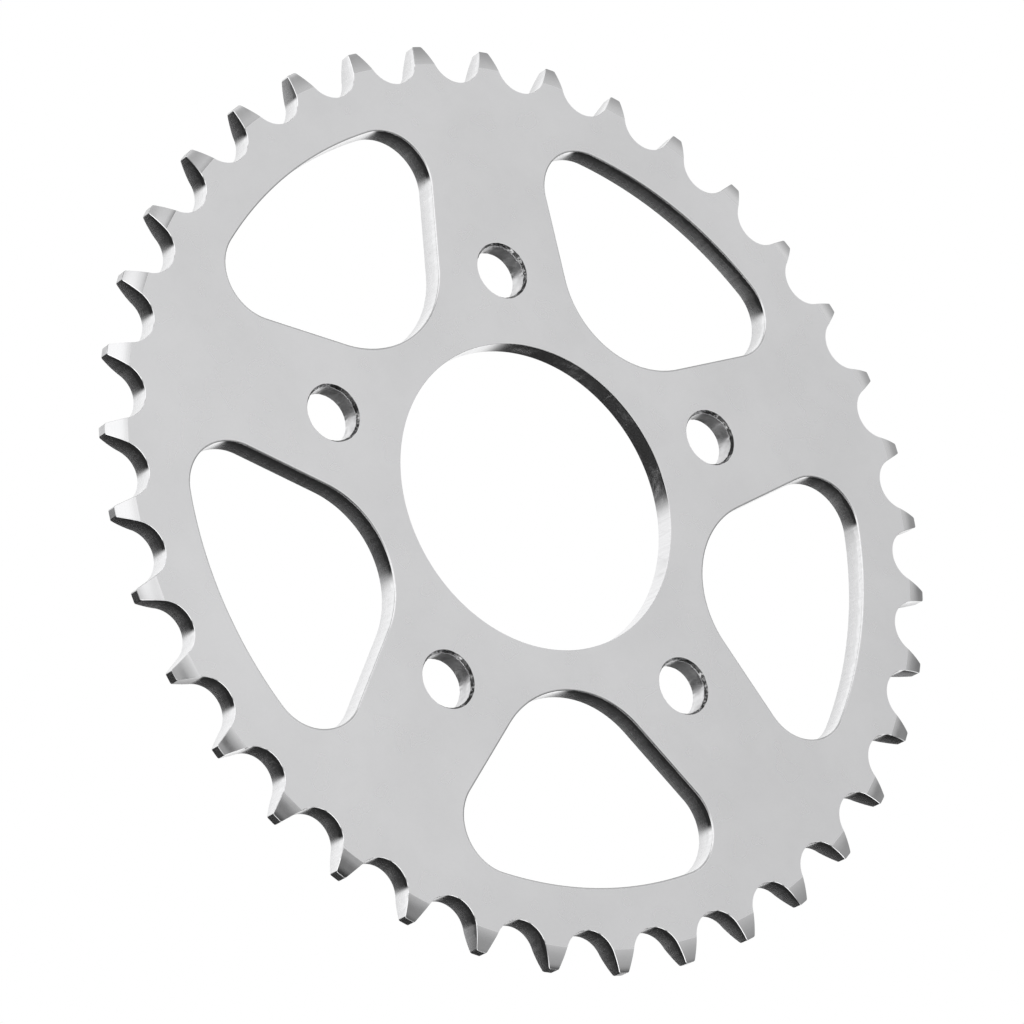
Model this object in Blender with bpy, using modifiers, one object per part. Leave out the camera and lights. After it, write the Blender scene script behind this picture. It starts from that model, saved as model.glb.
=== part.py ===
"""Rear sprocket for a roller chain: one flat steel plate, toothed round its rim.

The plate stands upright on its teeth. Its axis is the Y axis, its front face looks along -Y and
its hub side along +Y. The origin is on the axis, half way through the plate. One bolt hole and
one tooth gap point straight down, and one window and one tooth point straight up.
"""

import math

import bmesh
import bpy

MM = 0.001

# The chain that the teeth carry.
CHAIN_PITCH = 15.875 * MM
CHAIN_ROLLER_DIAMETER = 10.16 * MM
TEETH = 37

# The plate.
PLATE_THICKNESS = 4.8 * MM
TIP_RADIUS = 96.6 * MM
HUB_BORE_RADIUS = 32.0 * MM
HUB_BORE_LEAD_IN = 0.4 * MM

# The side relief of the teeth: a turned arc on both faces that thins the teeth towards their
# tips, so that the chain's side plates slide over them. It starts with a slight crease.
RELIEF_START_RADIUS = 92.3 * MM
RELIEF_START_SLOPE = math.radians(8)
RELIEF_ARC_RADIUS = CHAIN_PITCH

# A tooth gap: a round seat for the roller, then two straight flanks that open outwards.
PITCH_RADIUS = CHAIN_PITCH / 2 / math.sin(math.pi / TEETH)
ROOT_RADIUS = PITCH_RADIUS - 0.505 * CHAIN_ROLLER_DIAMETER
SEAT_RADIUS = 5.7 * MM
FLANK_LEAN = math.radians(23)

# The five bolt holes, chamfered at the front face and lightly deburred at the hub side.
BOLTS = 5
BOLT_CIRCLE_RADIUS = 47.75 * MM
BOLT_HOLE_RADIUS = 5.5 * MM
BOLT_HOLE_CHAMFER = 0.4 * MM
BOLT_HOLE_DEBURR = 0.2 * MM

# The five windows between the bolt holes: three rounded corners, and a rim side that is an
# arc about the sprocket's axis.
WINDOW_RIM_RADIUS = 80.0 * MM
WINDOW_CORNER_RADIUS = 10.0 * MM
WINDOW_CORNER_ANGLE = math.radians(16)
WINDOW_NOSE_CENTRE = 60.2 * MM
WINDOW_NOSE_RADIUS = 20.0 * MM

# How finely round stretches are cut into straight ones.
STEPS_PER_TOOTH = 4
SEAT_STEPS = 15
RELIEF_STEPS = 3
BOLT_HOLE_STEPS = 40
WINDOW_RIM_STEPS = 8
WINDOW_CORNER_STEPS = 14
WINDOW_NOSE_STEPS = 12

# Edges that turn by less than this are part of a round stretch and are shaded smooth.
SMOOTH_BELOW = math.radians(10)

# How far a cutter stands past the plate, and how near points must be to become one.
OVERSHOOT = 1.0 * MM
WELD = 0.001 * MM

DOWN = -math.pi / 2
UP = math.pi / 2


def clear_scene():
    for obj in list(bpy.data.objects):
        bpy.data.objects.remove(obj, do_unlink=True)


def new_collection(name):
    collection = bpy.data.collections.new(name)
    bpy.context.scene.collection.children.link(collection)
    return collection


def polar(radius, angle):
    return radius * math.cos(angle), radius * math.sin(angle)


def arc(centre, radius, start, end, steps):
    """Points along an arc, both ends included."""
    turn = (end - start) / steps
    offsets = (polar(radius, start + turn * i) for i in range(steps + 1))
    return [(centre[0] + x, centre[1] + y) for x, y in offsets]


def turned(points, angle):
    """The points turned about the origin."""
    c, s = math.cos(angle), math.sin(angle)
    return [(c * x - s * y, s * x + c * y) for x, y in points]


def gap_outline():
    """One tooth gap along +X, from its clockwise flank's outer end to the other flank's."""
    seat_centre = (ROOT_RADIUS + SEAT_RADIUS, 0.0)
    half_seat = math.pi / 2 - FLANK_LEAN
    seat = arc(seat_centre, SEAT_RADIUS, math.pi + half_seat, math.pi - half_seat, SEAT_STEPS)
    seat_end_x, seat_end_y = seat[-1]
    flank_end_x = TIP_RADIUS + OVERSHOOT
    flank_end_y = seat_end_y + (flank_end_x - seat_end_x) * math.tan(FLANK_LEAN)
    return [(flank_end_x, -flank_end_y), *seat, (flank_end_x, flank_end_y)]


def toothed_outline():
    gap = gap_outline()
    outline = []
    for tooth in range(TEETH):
        outline += turned(gap, DOWN + tooth * 2 * math.pi / TEETH)
    return outline


def window_outline():
    """A window along +X, counter-clockwise from the rim side's clockwise end."""
    corner_distance = WINDOW_RIM_RADIUS - WINDOW_CORNER_RADIUS
    upper = polar(corner_distance, WINDOW_CORNER_ANGLE)
    lower = polar(corner_distance, -WINDOW_CORNER_ANGLE)
    nose = (WINDOW_NOSE_CENTRE, 0.0)
    run_x, run_y = upper[0] - nose[0], upper[1] - nose[1]
    side_turn = math.acos((WINDOW_NOSE_RADIUS - WINDOW_CORNER_RADIUS) / math.hypot(run_x, run_y))
    side_normal = math.atan2(run_y, run_x) + side_turn
    angle = WINDOW_CORNER_ANGLE
    rim = arc((0.0, 0.0), WINDOW_RIM_RADIUS, -angle, angle, WINDOW_RIM_STEPS)
    first = arc(upper, WINDOW_CORNER_RADIUS, angle, side_normal, WINDOW_CORNER_STEPS)
    inner = arc(nose, WINDOW_NOSE_RADIUS, side_normal, 2 * math.pi - side_normal, WINDOW_NOSE_STEPS)
    last = arc(lower, WINDOW_CORNER_RADIUS, -side_normal, -angle, WINDOW_CORNER_STEPS)
    return rim + first[1:] + inner + last[:-1]


def outline_mesh(name, points, thickness):
    """A flat closed outline, made solid to the thickness given, its middle at height 0."""
    curve = bpy.data.curves.new(name, "CURVE")
    curve.dimensions = "2D"
    curve.fill_mode = "BOTH"
    curve.extrude = thickness / 2
    spline = curve.splines.new("POLY")
    spline.points.add(len(points) - 1)
    for place, (x, y) in zip(spline.points, points):
        place.co = (x, y, 0.0, 1.0)
    spline.use_cyclic_u = True
    drawn = bpy.data.objects.new(name, curve)
    bpy.context.scene.collection.objects.link(drawn)
    evaluated = drawn.evaluated_get(bpy.context.evaluated_depsgraph_get())
    mesh = bpy.data.meshes.new_from_object(evaluated)
    mesh.name = name
    bpy.data.objects.remove(drawn)
    bpy.data.curves.remove(curve)
    weld_caps(mesh)
    return mesh


def weld_caps(mesh):
    bm = bmesh.new()
    bm.from_mesh(mesh)
    bmesh.ops.remove_doubles(bm, verts=bm.verts, dist=WELD)
    bmesh.ops.recalc_face_normals(bm, faces=bm.faces)
    bm.to_mesh(mesh)
    bm.free()


def turned_object(name, profile, steps, collection):
    """A profile of (radius, height) points, turned once about the upright axis."""
    count = len(profile)
    closed = profile[0][0] > 0
    edges = [(i, (i + 1) % count) for i in range(count if closed else count - 1)]
    mesh = bpy.data.meshes.new(name)
    mesh.from_pydata([(radius, 0.0, height) for radius, height in profile], edges, [])
    obj = bpy.data.objects.new(name, mesh)
    collection.objects.link(obj)
    screw = obj.modifiers.new("turn", "SCREW")
    screw.axis = "Z"
    screw.steps = steps
    screw.render_steps = steps
    screw.use_merge_vertices = True
    screw.merge_threshold = WELD
    return obj


def relief():
    """The side relief from its crease to the tip, as (radius, height above mid-thickness)."""
    crease = math.sin(RELIEF_START_SLOPE)
    reach = TIP_RADIUS - RELIEF_START_RADIUS
    end_slope = math.asin(crease + reach / RELIEF_ARC_RADIUS)
    centre_radius = RELIEF_START_RADIUS - RELIEF_ARC_RADIUS * crease
    centre_height = PLATE_THICKNESS / 2 - RELIEF_ARC_RADIUS * math.cos(RELIEF_START_SLOPE)
    start, end = math.pi / 2 - RELIEF_START_SLOPE, math.pi / 2 - end_slope
    return arc((centre_radius, centre_height), RELIEF_ARC_RADIUS, start, end, RELIEF_STEPS)


def blank(collection):
    """The turned ring that the teeth are cut from, with its hub bore and its relieved rim."""
    face = PLATE_THICKNESS / 2
    front = relief()
    back = [(radius, -height) for radius, height in reversed(front)]
    profile = [
        (HUB_BORE_RADIUS, face),
        *front,
        *back,
        (HUB_BORE_RADIUS + HUB_BORE_LEAD_IN, -face),
        (HUB_BORE_RADIUS, HUB_BORE_LEAD_IN - face),
    ]
    return turned_object("sprocket_plate", profile, STEPS_PER_TOOTH * TEETH, collection)


def bolt_hole_cutter(collection):
    """A turned pin as wide as a bolt hole, flared at each face for the edge's chamfer."""
    face = PLATE_THICKNESS / 2
    end = face + OVERSHOOT
    flare = BOLT_HOLE_RADIUS + OVERSHOOT
    profile = [
        (0.0, end),
        (flare + BOLT_HOLE_CHAMFER, end),
        (BOLT_HOLE_RADIUS, face - BOLT_HOLE_CHAMFER),
        (BOLT_HOLE_RADIUS, BOLT_HOLE_DEBURR - face),
        (flare + BOLT_HOLE_DEBURR, -end),
        (0.0, -end),
    ]
    return turned_object("bolt_hole_cutter_1", profile, BOLT_HOLE_STEPS, collection)


def as_cutter(obj):
    obj.hide_render = True
    obj.display_type = "WIRE"


def place_round_axis(first, count, radius, start):
    """Puts the object and copies of it evenly round the axis, sharing one mesh."""
    name = first.name.rsplit("_", 1)[0]
    for index in range(count):
        obj = first if index == 0 else first.copy()
        obj.name = f"{name}_{index + 1}"
        angle = start + index * 2 * math.pi / count
        obj.location = (*polar(radius, angle), 0.0)
        obj.rotation_euler = (0.0, 0.0, angle)
        if index:
            first.users_collection[0].objects.link(obj)
        as_cutter(obj)


def tooth_cutter(collection):
    """The toothed outline, thicker than the plate, which the plate is kept inside."""
    mesh = outline_mesh("tooth_form", toothed_outline(), PLATE_THICKNESS + 2 * OVERSHOOT)
    form = bpy.data.objects.new("tooth_form", mesh)
    collection.objects.link(form)
    as_cutter(form)
    return form


def window_cutters(collection):
    mesh = outline_mesh("window_cutter", window_outline(), PLATE_THICKNESS + 2 * OVERSHOOT)
    cutter = bpy.data.objects.new("window_cutter_1", mesh)
    collection.objects.link(cutter)
    place_round_axis(cutter, BOLTS, 0.0, UP)


def bolt_hole_cutters(collection):
    cutter = bolt_hole_cutter(collection)
    place_round_axis(cutter, BOLTS, BOLT_CIRCLE_RADIUS, DOWN)


def boolean(obj, name, operation, operand):
    cut = obj.modifiers.new(name, "BOOLEAN")
    cut.operation = operation
    cut.solver = "EXACT"
    if isinstance(operand, bpy.types.Collection):
        cut.operand_type = "COLLECTION"
        cut.collection = operand
    else:
        cut.object = operand


def apply_modifiers(obj):
    bpy.context.view_layer.update()
    evaluated = obj.evaluated_get(bpy.context.evaluated_depsgraph_get())
    finished = bpy.data.meshes.new_from_object(evaluated)
    obj.modifiers.clear()
    obj.data = finished
    finished.name = obj.name


def steel():
    material = bpy.data.materials.new("plated_steel")
    material.use_nodes = True
    shader = material.node_tree.nodes["Principled BSDF"]
    shader.inputs["Base Color"].default_value = (0.72, 0.72, 0.73, 1.0)
    shader.inputs["Metallic"].default_value = 1.0
    shader.inputs["Roughness"].default_value = 0.32
    return material


def stand_up(objects):
    """Turns everything from lying flat, front face up, to standing with its front along -Y."""
    stand = bpy.data.objects.new("axis", None)
    bpy.context.scene.collection.objects.link(stand)
    for obj in objects:
        obj.parent = stand
    stand.rotation_euler = (math.pi / 2, 0.0, 0.0)


def build():
    clear_scene()
    parts = new_collection("rear_sprocket")
    forms = new_collection("tooth_cutters")
    windows = new_collection("window_cutters")
    bolt_holes = new_collection("bolt_hole_cutters")
    plate = blank(parts)
    form = tooth_cutter(forms)
    window_cutters(windows)
    bolt_hole_cutters(bolt_holes)
    boolean(plate, "teeth", "INTERSECT", form)
    boolean(plate, "windows", "DIFFERENCE", windows)
    boolean(plate, "bolt_holes", "DIFFERENCE", bolt_holes)
    apply_modifiers(plate)
    plate.data.materials.clear()
    plate.data.materials.append(steel())
    plate.data.shade_smooth()
    plate.data.set_sharp_from_angle(angle=SMOOTH_BELOW)
    stand_up([plate, form, *windows.objects, *bolt_holes.objects])


build()
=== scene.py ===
"""Looks for the rear sprocket: one finely modelled steel plate in place of the CAD plate.

The plate is drawn lying flat, with x to the right, y up and the front face towards +z. It is then
stood up so that its axis is the frame's Y axis and its front face looks along -Y.
"""

import math

import bpy
import numpy as np
from mathutils import Matrix, Vector
from mathutils.geometry import delaunay_2d_cdt


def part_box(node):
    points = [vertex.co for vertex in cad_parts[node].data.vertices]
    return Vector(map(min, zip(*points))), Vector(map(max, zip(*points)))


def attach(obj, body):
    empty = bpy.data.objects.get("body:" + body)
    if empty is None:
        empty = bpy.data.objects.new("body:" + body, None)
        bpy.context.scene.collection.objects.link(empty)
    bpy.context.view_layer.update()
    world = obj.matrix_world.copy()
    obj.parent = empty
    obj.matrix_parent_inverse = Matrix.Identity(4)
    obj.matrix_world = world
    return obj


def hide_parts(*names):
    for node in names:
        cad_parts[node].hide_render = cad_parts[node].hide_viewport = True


MM = 0.001
NODE = "sprocket_plate"

# Chain and teeth, in millimetres.
CHAIN_PITCH = 15.875
CHAIN_ROLLER_DIAMETER = 10.16
TEETH = 37
TOOTH_TURN = 2 * math.pi / TEETH
PITCH_RADIUS = CHAIN_PITCH / 2 / math.sin(math.pi / TEETH)
ROOT_RADIUS = PITCH_RADIUS - 0.505 * CHAIN_ROLLER_DIAMETER
TIP_RADIUS = 96.6
SEAT_RADIUS = 5.7
FLANK_LEAN = math.radians(23)
TIP_CORNER_RADIUS = 0.45
TIP_BAND = 0.15

# The side relief of the teeth.
RELIEF_START_RADIUS = 92.3
RELIEF_START_SLOPE = math.radians(8)
RELIEF_ARC_RADIUS = CHAIN_PITCH

# Bore, bolt holes and windows.
BORE_RADIUS = 32.0
BORE_LEAD_IN = 0.4
OPENINGS = 5
BOLT_CIRCLE_RADIUS = 47.75
BOLT_HOLE_RADIUS = 5.5
BOLT_HOLE_CHAMFER = 0.4
BOLT_HOLE_DEBURR = 0.2
WINDOW_RIM_RADIUS = 80.0
WINDOW_CORNER_RADIUS = 10.0
WINDOW_CORNER_ANGLE = math.radians(16)
WINDOW_NOSE_CENTRE = 60.2
WINDOW_NOSE_RADIUS = 20.0

# The narrow bevel along the teeth: its widths on the flanks, in the seats and at the tips.
TOOTH_BREAK = 0.06
SEAT_BREAK = 0.05
TIP_BREAK = 0.04
BREAK_SLOPE = math.radians(65)

# The windows' edges: a shallow roll beside the face, then a fillet.
WINDOW_ROLL = 0.4
ROLL_SLOPE = math.radians(33)
WINDOW_EDGE = 0.05

# Fillets of the bore and the bolt holes, and the slope of the holes' front chamfer.
BORE_EDGE = 0.08
HOLE_EDGE = 0.05
HOLE_SLOPE = math.radians(62)
HOLE_BREAK = 0.3
DEBURR_BREAK = 0.1

# How unevenly the bolt holes' chamfers are worn, at the wall and on the face.
HOLE_WEAR = 0.1
HOLE_SPREAD = 0.08
WEAR_WAVES = (3, 7, 13, 22, 31, 43)
WEAR_FADE = 0.2
GOLDEN_TURN = 2.39996

# How finely each stretch is drawn.
SEAT_STEPS = 26
FLANK_STEPS = 9
CORNER_STEPS = 4
TIP_STEPS = 6
BORE_STEPS = 360
HOLE_STEPS = 180
WINDOW_STEP = math.radians(2.5)
WINDOW_RIM_STEPS = 16
WINDOW_SIDE_STEPS = 7
ROLL_STEPS = 4
WALL_ROWS = 2
FILL_TOLERANCE = 1e-6

DOWN = -math.pi / 2
UP = math.pi / 2

# The order of the plate's materials.
FACE, RELIEF, CUT, TIP, BORE, HOLE, CHAMFER = range(7)

# How much light each surface returns before its texture, and how much more of it in blue.
FACE_SHADE = 0.905
RELIEF_SHADE = 0.9
CUT_SHADE = 0.89
TIP_SHADE = 0.62
BORE_SHADE = 0.9
HOLE_SHADE = 0.86
BLUE_TINT = 1.01

# Roughness of the surfaces that have a single one, and of the burnished start of a cut.
TIP_ROUGHNESS = 0.26
CHAMFER_ROUGHNESS = 0.26
CUT_BURNISHED = 0.1
BORE_BURNISHED = 0.08

# The band that most of a noise texture's values fall in.
NOISE_LOW = 0.3
NOISE_HIGH = 0.7

# The studio's light. Directions are (azimuth, elevation) in degrees and levels are linear.
AMBIENT = 0.31

# Broad lights: azimuth, elevation, reach, level.
GLOWS = (
    (22.0, 0.0, 56.0, 0.76),
    (66.0, -5.0, 38.0, 0.4),
)

# Round cards, each laid over those before it: azimuth, elevation, radius, soft edge, level.
CARDS = (
    # Dark flags in front, which the relieved sides of the teeth mirror.
    (4.5, -15.0, 10.0, 20.0, 0.03),
    (-1.0, -2.5, 4.5, 4.0, 0.1),
    (19.0, -11.5, 2.5, 4.0, 0.2),
    (34.5, 10.0, 4.0, 4.0, 0.08),
    (77.0, -27.0, 9.0, 9.0, 0.2),
    (60.0, -29.0, 6.0, 5.0, 0.22),
    # The large softbox beside the camera.
    (-62.0, -15.0, 26.0, 14.0, 0.85),
    # Dark cards below.
    (0.0, -90.0, 40.0, 5.0, 0.03),
    (-5.0, -62.0, 24.0, 3.0, 0.02),
    (-18.0, -22.0, 14.0, 3.0, 0.02),
    # Bright panels above, at the sides and behind, which the cut walls mirror.
    (8.5, 22.5, 17.0, 5.0, 1.07),
    (-22.0, 27.0, 15.0, 5.0, 1.07),
    (-90.0, -12.0, 32.0, 4.0, 1.5),
    (-122.0, -64.0, 15.0, 5.0, 1.6),
    (152.0, -64.0, 14.0, 5.0, 1.2),
    (-110.0, 55.0, 24.0, 6.0, 1.3),
    (75.0, 62.0, 32.0, 5.0, 1.07),
    (180.0, 0.0, 46.0, 3.0, 0.97),
)

# The dark screen behind: where it leans, and the soft edges of its side and its front.
SCREEN_LEAN = (270.0, -32.0)
SCREEN_SIDE_EDGE = (-0.14, 0.06)
SCREEN_FRONT_EDGE = (0.55, 0.68)
SCREEN_LEVEL = 0.022
BACKDROP_LEVEL = 1.0

# The photographer's camera, in the frame.
CAMERA_LENS = 168.6
CAMERA_SENSOR = 36.0
CAMERA_PLACE = (-599.73, -728.90, 92.40)
CAMERA_RIGHT = (0.5784, -0.5473, -0.6049)
CAMERA_UP = (0.5199, -0.3241, 0.7904)
CAMERA_BACK = (-0.6286, -0.7716, 0.0970)

FLOOR_SIZE = 40.0


def unit(angle):
    angle = np.asarray(angle, float)
    return np.stack([np.cos(angle), np.sin(angle)], axis=-1)


def turned(points, angle):
    c, s = math.cos(angle), math.sin(angle)
    return points @ np.array([[c, s], [-s, c]])


class Outline:
    """A closed run of points with, at each one, the direction that points out of the steel."""

    def __init__(self, points, outward):
        self.points = np.asarray(points, float)
        self.outward = np.asarray(outward, float)

    def turned(self, angle):
        return Outline(turned(self.points, angle), turned(self.outward, angle))


def arc_run(centre, radius, start, end, steps, sign):
    """An arc's points and outward directions; sign is -1 where the steel is outside the arc."""
    angle = np.linspace(start, end, steps + 1)
    return np.asarray(centre) + radius * unit(angle), sign * unit(angle)


def circle(centre, radius, steps):
    """A round opening, drawn clockwise so that the steel is on its left."""
    points, outward = arc_run(centre, radius, 0.0, -2 * math.pi, steps, -1.0)
    return Outline(points[:-1], outward[:-1])


def side_height(radius):
    """Height of the front face above mid-thickness at a radius, with the relief's slope there."""
    radius = np.asarray(radius, float)
    reach = np.clip(radius - RELIEF_START_RADIUS, 0.0, None)
    slope = np.arcsin(math.sin(RELIEF_START_SLOPE) + reach / RELIEF_ARC_RADIUS)
    fall = RELIEF_ARC_RADIUS * (math.cos(RELIEF_START_SLOPE) - np.cos(slope))
    return HALF_THICKNESS - fall, slope


def half_gap():
    """Half a tooth gap along +X: from the seat's middle, up the flank, to the tooth's middle.

    Returns points, outward directions, how far each point's edge is broken, and the place of the
    first point at the relief's crease.
    """
    seat_centre = np.array([ROOT_RADIUS + SEAT_RADIUS, 0.0])
    seat_end = math.pi / 2 + FLANK_LEAN
    points, outward = arc_run(seat_centre, SEAT_RADIUS, math.pi, seat_end, SEAT_STEPS // 2, -1.0)
    along = unit(FLANK_LEAN)
    out = unit(FLANK_LEAN - math.pi / 2)
    foot = points[-1]

    def reach(radius, inset):
        """How far along the flank, set in by inset, a radius is met."""
        start = foot - inset * out
        b = start @ along
        return -b + math.sqrt(b * b - start @ start + radius * radius)

    crease = reach(RELIEF_START_RADIUS, tooth_profile(TOOTH_BREAK)[0][0])
    corner_at = reach(TIP_RADIUS - TIP_CORNER_RADIUS, TIP_CORNER_RADIUS)
    run = np.linspace(crease, corner_at, FLANK_STEPS + 1)[:-1]
    flank = foot + run[:, None] * along
    corner_centre = foot - TIP_CORNER_RADIUS * out + corner_at * along
    tip_angle = math.atan2(corner_centre[1], corner_centre[0])
    corner, corner_out = arc_run(
        corner_centre, TIP_CORNER_RADIUS, FLANK_LEAN - math.pi / 2, tip_angle, CORNER_STEPS, 1.0
    )
    tip, tip_out = arc_run(
        (0.0, 0.0), TIP_RADIUS, tip_angle, TOOTH_TURN / 2, TIP_STEPS // 2, 1.0
    )
    crease_index = len(points)
    points = np.vstack([points, flank, corner, tip[1:]])
    outward = np.vstack([outward, np.tile(out, (len(flank), 1)), corner_out, tip_out[1:]])
    # The bevel stays as narrow as the seat's until close to the crease.
    growth = np.clip(np.arange(len(points)) / crease_index, 0.0, 1.0) ** 3
    broken = SEAT_BREAK + (TOOTH_BREAK - SEAT_BREAK) * growth
    broken[crease_index + len(flank) + 1 :] = TIP_BREAK
    return points, outward, broken, crease_index


def toothed_outline():
    """The rim, counter-clockwise, starting at the middle of a tooth.

    Returns it with how far each point's edge is broken, the number of points from one tooth's
    middle to the next, and the number from a tooth's middle to its crease.
    """
    upper, upper_out, upper_broken, crease = half_gap()
    flip = np.array([1.0, -1.0])
    lower, lower_out = (upper * flip)[::-1], (upper_out * flip)[::-1]
    points = np.vstack([lower, upper[1:-1]])
    outward = np.vstack([lower_out, upper_out[1:-1]])
    broken = np.concatenate([upper_broken[::-1], upper_broken[1:-1]])
    turns = [DOWN + i * TOOTH_TURN for i in range(TEETH)]
    rim = Outline(
        np.vstack([turned(points, a) for a in turns]),
        np.vstack([turned(outward, a) for a in turns]),
    )
    to_crease = len(upper) - 1 - crease
    return rim, np.tile(broken, TEETH), len(points), to_crease


def window_outline():
    """A window along +X, drawn clockwise."""
    corner_distance = WINDOW_RIM_RADIUS - WINDOW_CORNER_RADIUS
    corner = corner_distance * unit(WINDOW_CORNER_ANGLE)
    nose = np.array([WINDOW_NOSE_CENTRE, 0.0])
    run = corner - nose
    side_turn = math.acos((WINDOW_NOSE_RADIUS - WINDOW_CORNER_RADIUS) / math.hypot(*run))
    side = math.atan2(run[1], run[0]) + side_turn
    flip = np.array([1.0, -1.0])

    def fine(turn):
        return max(2, math.ceil(turn / WINDOW_STEP))

    rim, rim_out = arc_run(
        (0.0, 0.0), WINDOW_RIM_RADIUS, 0.0, WINDOW_CORNER_ANGLE, WINDOW_RIM_STEPS, -1.0
    )
    bend, bend_out = arc_run(
        corner, WINDOW_CORNER_RADIUS, WINDOW_CORNER_ANGLE, side, fine(side), -1.0
    )
    inner, inner_out = arc_run(nose, WINDOW_NOSE_RADIUS, side, math.pi, fine(math.pi - side), -1.0)
    share = np.linspace(0.0, 1.0, WINDOW_SIDE_STEPS + 1)[1:-1, None]
    straight = bend[-1] + share * (inner[0] - bend[-1])
    straight_out = np.tile(bend_out[-1], (len(share), 1))
    half = np.vstack([rim, bend[1:], straight, inner])
    half_out = np.vstack([rim_out, bend_out[1:], straight_out, inner_out])
    points = np.vstack([half, (half * flip)[::-1][1:-1]])
    outward = np.vstack([half_out, (half_out * flip)[::-1][1:-1]])
    return Outline(points[::-1], outward[::-1])


def roll(start, end, radius, corner):
    """A fillet in an edge's profile: points and normals turning from one angle to another.

    A profile point is (inset into the steel, depth below the face); a normal's angle is measured
    from straight up out of the face towards straight out of the wall.
    """
    inset, depth = corner
    half_turn = (end - start) / 2
    reach = radius * math.tan(half_turn)
    centre_inset = inset + reach * math.cos(start) + radius * math.sin(start)
    centre_depth = depth - reach * math.sin(start) + radius * math.cos(start)
    rows = []
    for step in range(ROLL_STEPS + 1):
        angle = start + (end - start) * step / ROLL_STEPS
        rows.append(
            (
                centre_inset - radius * math.sin(angle),
                centre_depth - radius * math.cos(angle),
                angle,
            )
        )
    return rows


def plain_profile(edge):
    """Face to wall, rounded over."""
    return roll(0.0, math.pi / 2, edge, (0.0, 0.0))


def rolled_profile(width, slope, edge):
    """Face to wall by way of the shallow roll that a punch leaves, then a tight fillet."""
    radius = width / math.tan(slope / 2) / 2
    drop = width * math.tan(slope) / 2
    start = roll(0.0, slope, radius, (width / 2, 0.0))
    return start + roll(slope, math.pi / 2, edge, (0.0, drop))


def chamfer_profile(chamfer, outer_edge, inner_edge, slope=math.pi / 4):
    """Face to wall by way of a chamfer that wide, with a small fillet at each end."""
    outer = roll(0.0, slope, outer_edge, (chamfer, 0.0))
    inner = roll(slope, math.pi / 2, inner_edge, (0.0, chamfer * math.tan(slope)))
    return outer + inner


def tooth_profile(broken):
    """Face to wall of a tooth, whose edges are broken by a steep and narrow bevel."""
    return chamfer_profile(broken, broken / 2, broken, BREAK_SLOPE)


def wear(count, seed):
    """An uneven run of values between -1 and 1 round a closed edge, the same at each run."""
    angle = 2 * math.pi * np.arange(count) / count
    total = np.zeros(count)
    for order, waves in enumerate(WEAR_WAVES):
        phase = GOLDEN_TURN * seed * (order + 1)
        total += np.sin(waves * angle + phase) / (1 + WEAR_FADE * order)
    return total / np.abs(total).max()


def hole_wear(seed):
    """How far the outer and the inner end of a bolt hole's chamfer have shifted."""
    outer = HOLE_SPREAD * (1.0 + wear(HOLE_STEPS, seed + 0.5)) / 2
    return outer, HOLE_WEAR * wear(HOLE_STEPS, seed)


class Plate:
    """Collects the plate's points, faces and exact corner normals."""

    def __init__(self):
        self.points = []
        self.stacked = np.empty((0, 3))
        self.count = 0
        self.faces = []
        self.normals = []
        self.kinds = []

    def add_points(self, points):
        first = self.count
        self.points.append(np.asarray(points, float))
        self.count += len(points)
        return np.arange(first, self.count)

    def at(self, index):
        """Where a point is, by its number."""
        if index >= len(self.stacked):
            self.stacked = np.vstack(self.points)
        return self.stacked[index]

    def add_face(self, corners, normals, kind):
        self.faces.append([int(i) for i in corners])
        self.normals.extend(normals)
        self.kinds.append(kind)

    def mesh(self, name):
        points = np.vstack(self.points) * MM
        stood = np.column_stack([points[:, 0], -points[:, 2], points[:, 1]])
        normals = np.asarray(self.normals)
        stood_normals = np.column_stack([normals[:, 0], -normals[:, 2], normals[:, 1]])
        mesh = bpy.data.meshes.new(name)
        mesh.from_pydata(stood.tolist(), [], self.faces)
        mesh.polygons.foreach_set("material_index", self.kinds)
        mesh.polygons.foreach_set("use_smooth", [True] * len(self.faces))
        mesh.normals_split_custom_set(stood_normals.tolist())
        mesh.update()
        return mesh


def ring(outline, inset, depth, side):
    """One run of points along an outline: set into the steel, and down from the face."""
    flat = outline.points - np.reshape(inset, (-1, 1)) * outline.outward
    height, _ = side_height(np.hypot(flat[:, 0], flat[:, 1]))
    return np.column_stack([flat, side * (height - depth)])


def face_normals(points, on_relief, side):
    """The side surface's normal at each point, on the flat face or on the relief."""
    radius = np.hypot(points[:, 0], points[:, 1])
    _, slope = side_height(radius)
    slope = np.where(on_relief, slope, 0.0)
    out = points[:, :2] / radius[:, None]
    return np.column_stack([out * np.sin(slope)[:, None], side * np.cos(slope)])


def unit_rows(rows):
    return rows / np.linalg.norm(rows, axis=1)[:, None]


def worn_normals(rows, count):
    """Normals of a grid of rows, from the points themselves. The first and last rows are left."""
    grid = np.array([points for points, *_ in rows])
    along = np.roll(grid, -1, axis=1) - np.roll(grid, 1, axis=1)
    across = grid[2:] - grid[:-2]
    return unit_rows(np.cross(across, along[1:-1]).reshape(-1, 3)).reshape(-1, count, 3)


def worn_place(place, inset, depth, worn):
    """A profile point after wear, which is (shift of the outer end, shift of the inner end)."""
    if not worn:
        return inset, depth
    outer, inner = worn
    if place <= ROLL_STEPS:
        return inset + outer, depth
    return inset + inner, depth - inner


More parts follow.
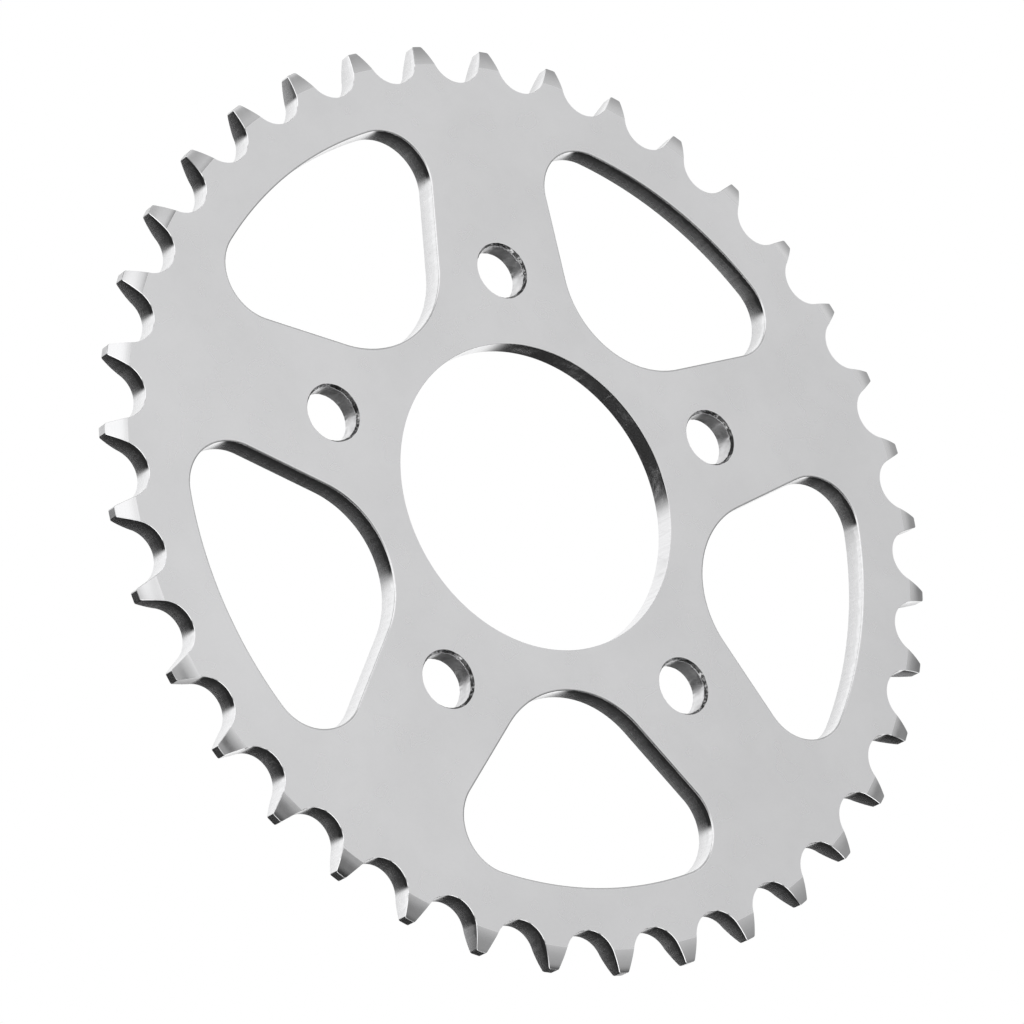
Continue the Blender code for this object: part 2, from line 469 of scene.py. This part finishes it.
def edge_strip(plate, outline, front, back, kind, edge_kind, worn=None):
    """Sews an outline's cut edge from the front face round to the back face.

    A profile's insets and depths are single values or one value for each point of the outline; so
    are the materials kind, of the wall, and edge_kind, of the rows beside each face.

    Returns the front and back loops of points that the faces are filled up to. Where worn is
    given, it holds each side's shift of the profile's two ends: the outer end is moved along the
    face, and the inner end in and out of the wall.
    """
    rows = []
    for place, (inset, depth, angle) in enumerate(front):
        inset, depth = worn_place(place, inset, depth, worn and worn[0])
        rows.append((ring(outline, inset, depth, 1.0), angle, 1.0))
    low = ring(outline, 0.0, front[-1][1], 1.0)
    high = ring(outline, 0.0, back[-1][1], -1.0)
    for share in np.linspace(0.0, 1.0, WALL_ROWS + 2)[1:-1]:
        rows.append((low + share * (high - low), math.pi / 2, 1.0))
    for place, (inset, depth, angle) in reversed(list(enumerate(back))):
        inset, depth = worn_place(place, inset, depth, worn and worn[1])
        rows.append((ring(outline, inset, depth, -1.0), angle, -1.0))
    loops = [plate.add_points(points) for points, *_ in rows]
    count = len(outline.points)
    ahead = (np.arange(count) + 1) % count
    radii = np.hypot(*rows[0][0][:, :2].T)
    on_relief = (radii + radii[ahead]) / 2 > RELIEF_START_RADIUS
    wall = np.column_stack([outline.outward, np.zeros(count)])
    shaded = []
    for points, angle, side in rows:
        ends = []
        for pick in (np.arange(count), ahead):
            face = face_normals(points[pick], on_relief, side)
            ends.append(unit_rows(math.cos(angle) * face + math.sin(angle) * wall[pick]))
        shaded.append(ends)
    if worn is not None:
        for row, normals in enumerate(worn_normals(rows, count), 1):
            shaded[row] = [normals, normals[ahead]]
    for row in range(len(rows) - 1):
        upper, lower = loops[row], loops[row + 1]
        near_face = min(row, len(rows) - 2 - row) <= ROLL_STEPS
        here = np.broadcast_to(edge_kind if near_face else kind, count)
        for i in range(count):
            j = ahead[i]
            corners = (upper[i], lower[i], lower[j], upper[j])
            normals = (
                shaded[row][0][i],
                shaded[row + 1][0][i],
                shaded[row + 1][1][i],
                shaded[row][1][i],
            )
            plate.add_face(corners, normals, int(here[i]))
    return loops[0], loops[-1]


def tooth_sides(plate, loop, outline_steps, to_crease, side):
    """Fills each tooth's relieved side, from the tip's arc down to the crease.

    Returns, for each tooth, the row of points along its crease, counter-clockwise.
    """
    creases = []
    half_tip = TIP_STEPS // 2
    total = len(loop)
    for tooth in range(TEETH):
        middle = tooth * outline_steps
        upper = loop[[(middle + k) % total for k in range(-half_tip, half_tip + 1)]]
        for step in range(half_tip + 1, to_crease + 1):
            first = loop[(middle - step) % total]
            last = loop[(middle + step) % total]
            lower = relief_row(plate, first, last)
            sew_relief(plate, upper, lower, side)
            upper = lower
        creases.append(upper)
    return creases


def relief_row(plate, first, last):
    """Points between two flank points, along an arc about the sprocket's axis."""
    start, end = plate.at(first), plate.at(last)
    radius = math.hypot(start[0], start[1])
    from_angle = math.atan2(start[1], start[0])
    sweep = math.atan2(end[1], end[0]) - from_angle
    sweep = (sweep + math.pi) % (2 * math.pi) - math.pi
    share = np.arange(1, TIP_STEPS) / TIP_STEPS
    flat = radius * unit(from_angle + share * sweep)
    inner = plate.add_points(np.column_stack([flat, np.full(len(flat), start[2])]))
    return np.array([first, *inner, last])


def sew_relief(plate, upper, lower, side):
    """Joins two rows of points across a tooth's relieved side with a strip of faces."""
    points = np.array([plate.at(i) for i in (*upper, *lower)])
    normals = face_normals(points, np.full(len(points), True), side)
    count = len(upper)
    for i in range(count - 1):
        corners = [i, i + 1, count + i + 1, count + i]
        if side < 0:
            corners.reverse()
        index = [upper[k] if k < count else lower[k - count] for k in corners]
        plate.add_face(index, [normals[k] for k in corners], RELIEF)


def in_steel(spots, points, edges):
    """Which spots have an odd number of boundary crossings to their right."""
    ends = np.array(edges)
    a, b = points[ends[:, 0]], points[ends[:, 1]]
    y = spots[:, 1][:, None]
    spans = (a[:, 1] > y) != (b[:, 1] > y)
    rise = np.where(a[:, 1] == b[:, 1], 1.0, b[:, 1] - a[:, 1])
    meets = a[:, 0] + (y - a[:, 1]) * (b[:, 0] - a[:, 0]) / rise
    return (spans & (spots[:, 0][:, None] < meets)).sum(axis=1) % 2 == 1


def fill_face(plate, loops, side):
    """Fills the flat face between its rim loop and the loops of the openings."""
    points, edges, source = [], [], []
    for loop in loops:
        first = len(points)
        for i in loop:
            points.append(Vector(plate.at(i)[:2]))
            source.append(i)
        count = len(loop)
        edges += [(first + k, first + (k + 1) % count) for k in range(count)]
    drawn, _, faces, origin, _, _ = delaunay_2d_cdt(
        points, edges, [], 0, FILL_TOLERANCE, True
    )
    flat = np.array([p[:] for p in drawn])
    faces = np.array(faces)
    steel = in_steel(flat[faces].mean(axis=1), np.array([p[:] for p in points]), edges)
    normal = (0.0, 0.0, side)
    for face in faces[steel]:
        corners = [source[origin[k][0]] for k in face]
        if side < 0:
            corners.reverse()
        plate.add_face(corners, [normal] * len(corners), FACE)


def rim_loop(loop, creases, outline_steps, to_crease):
    """The flat face's outer boundary: each tooth's crease, then the seat to the next tooth."""
    total = len(loop)
    path = []
    for tooth, crease in enumerate(creases):
        path += list(crease)
        start = tooth * outline_steps + to_crease
        end = (tooth + 1) * outline_steps - to_crease
        path += [loop[k % total] for k in range(start + 1, end)]
    return path


def build_plate():
    """The whole plate: the rim, every opening, the teeth's relieved sides and the two faces."""
    plate = Plate()
    rim, broken, per_tooth, to_crease = toothed_outline()
    tooth_edge = tooth_profile(broken)
    at_tip = np.hypot(*rim.points.T) > TIP_RADIUS - TIP_BAND
    wall = np.where(at_tip & np.roll(at_tip, -1), TIP, CUT)
    front_rim, back_rim = edge_strip(plate, rim, tooth_edge, tooth_edge, wall, wall)
    front_loops, back_loops = [], []
    window_edge = rolled_profile(WINDOW_ROLL, ROLL_SLOPE, WINDOW_EDGE)
    hole_front = chamfer_profile(BOLT_HOLE_CHAMFER, HOLE_EDGE, HOLE_BREAK, HOLE_SLOPE)
    hole_back = chamfer_profile(BOLT_HOLE_DEBURR, HOLE_EDGE, DEBURR_BREAK)
    bore = circle((0.0, 0.0), BORE_RADIUS, BORE_STEPS)
    bore_front = plain_profile(BORE_EDGE)
    bore_back = chamfer_profile(BORE_LEAD_IN, HOLE_EDGE, HOLE_EDGE)
    cuts = [(bore, bore_front, bore_back, BORE, BORE, None)]
    for index in range(OPENINGS):
        turn = index * 2 * math.pi / OPENINGS
        window = window_outline().turned(UP + turn)
        cuts.append((window, window_edge, window_edge, CUT, CUT, None))
        centre = BOLT_CIRCLE_RADIUS * unit(DOWN + turn)
        hole = circle(centre, BOLT_HOLE_RADIUS, HOLE_STEPS)
        worn = [hole_wear(2 * index + side) for side in (1, 2)]
        cuts.append((hole, hole_front, hole_back, HOLE, CHAMFER, worn))
    for cut in cuts:
        top, bottom = edge_strip(plate, *cut)
        front_loops.append(top)
        back_loops.append(bottom)
    for side, rim_points, loops in ((1.0, front_rim, front_loops), (-1.0, back_rim, back_loops)):
        creases = tooth_sides(plate, rim_points, per_tooth, to_crease, side)
        outer = rim_loop(rim_points, creases, per_tooth, to_crease)
        fill_face(plate, [outer, *loops], side)
    return plate


class Nodes:
    """Short ways to add shader nodes to one tree and join them up."""

    def __init__(self, tree):
        self.tree = tree

    def put(self, kind, inputs=None, **settings):
        node = self.tree.nodes.new(kind)
        for name, value in settings.items():
            setattr(node, name, value)
        for name, value in (inputs or {}).items():
            self.feed(node.inputs[name], value)
        return node

    def feed(self, socket, value):
        if isinstance(value, bpy.types.NodeSocket):
            self.tree.links.new(value, socket)
        else:
            socket.default_value = value

    def math(self, operation, *values, clamp=False):
        node = self.put("ShaderNodeMath", operation=operation, use_clamp=clamp)
        for socket, value in zip(node.inputs, values):
            self.feed(socket, value)
        return node.outputs[0]

    def vector(self, operation, *values):
        node = self.put("ShaderNodeVectorMath", operation=operation)
        for socket, value in zip(node.inputs, values):
            self.feed(socket, value)
        return node.outputs["Value" if operation in ("DOT_PRODUCT", "LENGTH") else "Vector"]

    def ramp(self, value, low, high, to_low=0.0, to_high=1.0, smooth=True):
        """value carried from low..high to to_low..to_high, and held beyond them."""
        node = self.put(
            "ShaderNodeMapRange",
            {
                "Value": value,
                "From Min": low,
                "From Max": high,
                "To Min": to_low,
                "To Max": to_high,
            },
            interpolation_type="SMOOTHSTEP" if smooth else "LINEAR",
        )
        return node.outputs["Result"]

    def spread(self, noise, low, high):
        """A noise's usual values carried to low..high."""
        return self.ramp(noise, NOISE_LOW, NOISE_HIGH, low, high)

    def varied(self, level, noise, low, high):
        """level with a noise's values, carried to low..high, added to it."""
        return self.math("ADD", level, self.spread(noise, low, high))

    def mix(self, share, first, second):
        """first where share is 0, second where it is 1."""
        node = self.put("ShaderNodeMix", data_type="FLOAT")
        self.feed(node.inputs[0], share)
        self.feed(node.inputs[2], first)
        self.feed(node.inputs[3], second)
        return node.outputs[0]

    def noise(self, vector, scale, detail=2.0, roughness=0.5, distortion=0.0):
        inputs = {
            "Vector": vector,
            "Scale": scale,
            "Detail": detail,
            "Roughness": roughness,
            "Distortion": distortion,
        }
        return self.put("ShaderNodeTexNoise", inputs, noise_dimensions="3D").outputs["Fac"]


class Steel(Nodes):
    """A metal material whose coordinates are millimetres in the frame."""

    def __init__(self, name):
        self.material = bpy.data.materials.new(name)
        self.material.use_nodes = True
        super().__init__(self.material.node_tree)
        self.shader = self.tree.nodes["Principled BSDF"]
        place = self.put("ShaderNodeTexCoord").outputs["Object"]
        self.place = self.vector("SCALE", place)
        self.place.node.inputs["Scale"].default_value = 1 / MM
        parts = self.put("ShaderNodeSeparateXYZ", {"Vector": self.place}).outputs
        y = parts["Y"]
        self.depth = self.math("ADD", y, HALF_THICKNESS)

    def stretched(self, x, y, z, turn=(0.0, 0.0, 0.0)):
        """The coordinates turned, then scaled along each axis."""
        node = self.put("ShaderNodeMapping", {"Vector": self.place, "Rotation": turn})
        return self.vector("MULTIPLY", node.outputs["Vector"], (x, y, z))

    def scratches(self, turn, thin, long, share):
        """Thin straight marks in the plane of the plate: 1 on a mark and 0 off it."""
        lines = self.noise(self.stretched(thin, 0.0, long, (0.0, turn, 0.0)), 1.0, 1.0)
        return self.ramp(lines, 1.0 - share, 1.0 - share + 0.05)

    def finish(self, brightness, roughness, height=None, distance=0.0):
        tint = self.put("ShaderNodeCombineColor")
        self.feed(tint.inputs[0], brightness)
        self.feed(tint.inputs[1], brightness)
        self.feed(tint.inputs[2], self.math("MULTIPLY", brightness, BLUE_TINT))
        self.feed(self.shader.inputs["Base Color"], tint.outputs[0])
        self.shader.inputs["Metallic"].default_value = 1.0
        self.feed(self.shader.inputs["Roughness"], roughness)
        if height is not None:
            bump = self.put(
                "ShaderNodeBump", {"Height": height, "Distance": distance * MM, "Strength": 1.0}
            )
            self.feed(self.shader.inputs["Normal"], bump.outputs["Normal"])
        return self.material


def plated_face():
    """Satin plate: faint clouds, a fine grain and hair-thin handling marks."""
    steel = Steel("plated_face")
    clouds = steel.noise(steel.place, 0.035, 3.0, 0.55)
    patches = steel.noise(steel.place, 0.22, 1.0, 0.5)
    grain = steel.noise(steel.place, 1.6, 1.0, 0.5)
    shade = steel.varied(FACE_SHADE, clouds, -0.022, 0.022)
    shade = steel.varied(shade, patches, -0.009, 0.009)
    shade = steel.math("ADD", shade, steel.ramp(grain, 0.25, 0.75, -0.004, 0.004))
    marks = steel.math(
        "MAXIMUM",
        steel.scratches(0.5, 4.5, 0.06, 0.24),
        steel.scratches(-0.9, 5.5, 0.08, 0.23),
    )
    shade = steel.math("SUBTRACT", shade, steel.math("MULTIPLY", marks, 0.012))
    rough = steel.ramp(patches, 0.2, 0.8, 0.27, 0.29)
    return steel.finish(shade, rough, patches, 0.003)


def turned_relief():
    """The turned side of the teeth: fine rings about the axis."""
    steel = Steel("turned_relief")
    radius = steel.vector("LENGTH", steel.stretched(1.0, 0.0, 1.0))
    rings = steel.put("ShaderNodeCombineXYZ", {"X": radius}).outputs[0]
    fine = steel.noise(rings, 5.0, 3.0, 0.7)
    clouds = steel.noise(steel.place, 0.3, 3.0, 0.6)
    shade = steel.varied(RELIEF_SHADE, fine, -0.02, 0.02)
    shade = steel.varied(shade, clouds, -0.02, 0.02)
    rough = steel.spread(clouds, 0.13, 0.19)
    return steel.finish(shade, rough, fine, 0.0025)


def cut_wall():
    """A blanked wall: burnished beside the front face, then torn and streaked along the cut."""
    steel = Steel("cut_wall")
    streaks = steel.noise(steel.stretched(1.5, 0.1, 1.5), 1.0, 3.0, 0.6)
    waves = steel.noise(steel.stretched(0.35, 0.1, 0.35), 1.0, 2.0)
    torn_from = steel.spread(waves, 0.7, 1.4)
    below = steel.math("SUBTRACT", steel.depth, torn_from)
    torn = steel.ramp(below, -0.1, 0.3)
    blotches = steel.noise(steel.place, 0.9, 4.0, 0.65, 0.6)
    slanted = steel.stretched(1.6, 0.35, 1.6, (0.6, 0.5, 0.0))
    gouges = steel.ramp(steel.noise(slanted, 1.0, 3.0, 0.75, 0.8), 0.66, 0.7)
    shade = steel.varied(CUT_SHADE, streaks, -0.03, 0.03)
    shade = steel.math("ADD", shade, steel.ramp(blotches, 0.35, 0.7, 0.02, -0.03))
    shade = steel.math("MULTIPLY", shade, steel.ramp(gouges, 0.0, 1.0, 1.0, 0.72))
    dulled = steel.ramp(steel.depth, 0.8, 4.8, 0.17, 0.33, smooth=False)
    dulled = steel.varied(dulled, streaks, -0.012, 0.012)
    rough = steel.mix(torn, CUT_BURNISHED, dulled)
    height = steel.math("MULTIPLY", streaks, steel.mix(torn, 0.25, 1.0))
    return steel.finish(shade, rough, height, 0.0004)


def turned_tip():
    """The land on top of a tooth: turned, and duller than the cut wall beside it."""
    steel = Steel("turned_tip")
    lines = steel.noise(steel.stretched(0.4, 3.5, 0.4), 1.0, 3.0, 0.65)
    clouds = steel.noise(steel.place, 0.8, 3.0, 0.6)
    shade = steel.varied(TIP_SHADE, lines, -0.05, 0.05)
    shade = steel.varied(shade, clouds, -0.05, 0.05)
    return steel.finish(shade, TIP_ROUGHNESS, lines, 0.003)


def bored_wall():
    """The hub bore: smooth, with light lines along the cut and a few dull patches."""
    steel = Steel("bored_wall")
    lines = steel.noise(steel.stretched(1.3, 0.03, 1.3), 1.0, 5.0, 0.75)
    patches = steel.noise(steel.place, 0.12, 4.0, 0.7, 0.5)
    shade = steel.varied(BORE_SHADE, lines, -0.04, 0.05)
    rough = steel.math(
        "ADD",
        steel.ramp(lines, 0.6, 0.7, 0.17, 0.3),
        steel.ramp(patches, 0.5, 0.7, 0.0, 0.12),
    )
    rough = steel.mix(steel.ramp(steel.depth, 0.15, 0.5), BORE_BURNISHED, rough)
    return steel.finish(shade, rough, lines, 0.003)


def drilled_wall():
    """A bolt hole's wall: dull, cloudy and lightly ringed by the drill."""
    steel = Steel("drilled_wall")
    clouds = steel.noise(steel.place, 0.45, 4.0, 0.6, 0.4)
    rings = steel.noise(steel.stretched(0.15, 3.0, 0.15), 1.0, 3.0, 0.6)
    pits = steel.ramp(steel.noise(steel.place, 1.3, 3.0, 0.6), 0.7, 0.75)
    shade = steel.varied(HOLE_SHADE, clouds, -0.09, 0.07)
    shade = steel.math("MULTIPLY", shade, steel.ramp(pits, 0.0, 1.0, 1.0, 0.35))
    rough = steel.spread(clouds, 0.38, 0.28)
    return steel.finish(shade, rough, rings, 0.004)


def chamfered_edge():
    """A countersink's cone: chattered, dark with painted shade, and flecked with painted glints
    where it breaks into the wall.
    """
    steel = Steel("chamfered_edge")
    chatter = steel.noise(steel.place, 1.6, 4.0, 0.7, 0.8)
    glint_flecks = steel.ramp(steel.noise(steel.place, 1.9, 3.0, 0.7, 0.5), 0.47, 0.56)
    stretches = steel.ramp(steel.noise(steel.place, 0.3, 2.0), 0.45, 0.52)
    # Painted shade: the cone's colour is held near black, and painted glints lift it in bright
    # flecks.
    shade = steel.ramp(chatter, 0.35, 0.7, 0.03, 0.11)
    painted_glints = steel.math("MULTIPLY", steel.math("MULTIPLY", glint_flecks, stretches), 0.5)
    shade = steel.math("ADD", shade, painted_glints)
    return steel.finish(shade, CHAMFER_ROUGHNESS, chatter, 0.012)


def direction(azimuth, elevation):
    """The way out to an azimuth and elevation in degrees: azimuth 0 is -Y and 90 is +X."""
    a, e = math.radians(azimuth), math.radians(elevation)
    return (math.sin(a) * math.cos(e), -math.cos(a) * math.cos(e), math.sin(e))


class Studio(Nodes):
    """The light round the object, as levels seen in each direction."""

    def __init__(self, world):
        world.use_nodes = True
        super().__init__(world.node_tree)
        self.background = self.tree.nodes["Background"]
        self.ray = self.put("ShaderNodeTexCoord").outputs["Generated"]

    def away(self, azimuth, elevation):
        """The angle between a direction and the ray, in degrees."""
        dot = self.vector("DOT_PRODUCT", self.ray, direction(azimuth, elevation))
        return self.math("DEGREES", self.math("ARCCOSINE", dot))

    def glow(self, light, azimuth, elevation, reach, level):
        """Adds a broad light that fades to nothing at its reach."""
        near = self.math("DIVIDE", self.away(azimuth, elevation), reach)
        left = self.math("SUBTRACT", 1.0, near, clamp=True)
        return self.math("ADD", light, self.math("MULTIPLY", self.math("POWER", left, 2.0), level))

    def card(self, light, azimuth, elevation, radius, soft, level):
        """Lays a round card with a soft edge over what is there."""
        away = self.away(azimuth, elevation)
        share = self.ramp(away, radius + soft, radius - soft)
        return self.mix(share, light, level)


def light_studio():
    """Lights the object from all round, while the camera itself sees a plain white backdrop."""
    world = bpy.data.worlds.new("studio")
    bpy.context.scene.world = world
    studio = Studio(world)
    light = AMBIENT
    for azimuth, elevation, reach, level in GLOWS:
        light = studio.glow(light, azimuth, elevation, reach, level)
    for azimuth, elevation, radius, soft, level in CARDS:
        light = studio.card(light, azimuth, elevation, radius, soft, level)
    side = studio.vector("DOT_PRODUCT", studio.ray, direction(*SCREEN_LEAN))
    behind = studio.vector("DOT_PRODUCT", studio.ray, (0.0, 1.0, 0.0))
    screen = studio.math(
        "MULTIPLY",
        studio.ramp(side, *SCREEN_SIDE_EDGE),
        studio.ramp(behind, *SCREEN_FRONT_EDGE),
    )
    light = studio.mix(screen, light, SCREEN_LEVEL)
    seen = studio.put("ShaderNodeLightPath").outputs["Is Camera Ray"]
    light = studio.mix(seen, light, BACKDROP_LEVEL)
    grey = studio.put("ShaderNodeCombineColor")
    for socket in grey.inputs:
        studio.feed(socket, light)
    studio.feed(studio.background.inputs["Color"], grey.outputs[0])


def add_camera():
    data = bpy.data.cameras.new("camera")
    data.lens = CAMERA_LENS
    data.sensor_width = CAMERA_SENSOR
    camera = bpy.data.objects.new("camera", data)
    bpy.context.scene.collection.objects.link(camera)
    axes = Matrix((CAMERA_RIGHT, CAMERA_UP, CAMERA_BACK)).transposed().to_4x4()
    camera.matrix_world = Matrix.Translation(Vector(CAMERA_PLACE) * MM) @ axes
    bpy.context.scene.camera = camera


def add_floor(height):
    """A wide white floor under the lowest teeth, plain enough to vanish into the background."""
    half = FLOOR_SIZE / 2
    mesh = bpy.data.meshes.new("floor")
    corners = [(-half, -half, 0), (half, -half, 0), (half, half, 0), (-half, half, 0)]
    mesh.from_pydata(corners, [], [(0, 1, 2, 3)])
    floor = bpy.data.objects.new("floor", mesh)
    floor.location.z = height
    bpy.context.scene.collection.objects.link(floor)
    material = bpy.data.materials.new("floor_white")
    material.use_nodes = True
    tree = material.node_tree
    tree.nodes.clear()
    nodes = Nodes(tree)
    white = (1.0, 1.0, 1.0, 1.0)
    glow = nodes.put("ShaderNodeEmission", {"Color": white, "Strength": BACKDROP_LEVEL})
    out = nodes.put("ShaderNodeOutputMaterial")
    tree.links.new(glow.outputs[0], out.inputs["Surface"])
    mesh.materials.append(material)
    for ray in ("visible_diffuse", "visible_glossy", "visible_shadow"):
        setattr(floor, ray, False)


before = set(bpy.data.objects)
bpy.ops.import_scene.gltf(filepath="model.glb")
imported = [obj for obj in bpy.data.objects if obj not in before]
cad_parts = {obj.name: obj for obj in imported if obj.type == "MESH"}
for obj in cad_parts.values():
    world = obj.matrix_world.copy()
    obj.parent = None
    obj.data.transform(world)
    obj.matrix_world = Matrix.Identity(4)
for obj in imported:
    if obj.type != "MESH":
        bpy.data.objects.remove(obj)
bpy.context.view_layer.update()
low_corner, high_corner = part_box(NODE)
HALF_THICKNESS = (high_corner.y - low_corner.y) / 2 / MM

plate = build_plate()
mesh = plate.mesh("plate")
makers = (
    plated_face,
    turned_relief,
    cut_wall,
    turned_tip,
    bored_wall,
    drilled_wall,
    chamfered_edge,
)
for make in makers:
    mesh.materials.append(make())
piece = bpy.data.objects.new("plate", mesh)
bpy.context.scene.collection.objects.link(piece)
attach(piece, "root")
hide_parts(NODE)

light_studio()
add_floor(low_corner.z)
add_camera()
bpy.context.scene.view_settings.view_transform = "Standard"
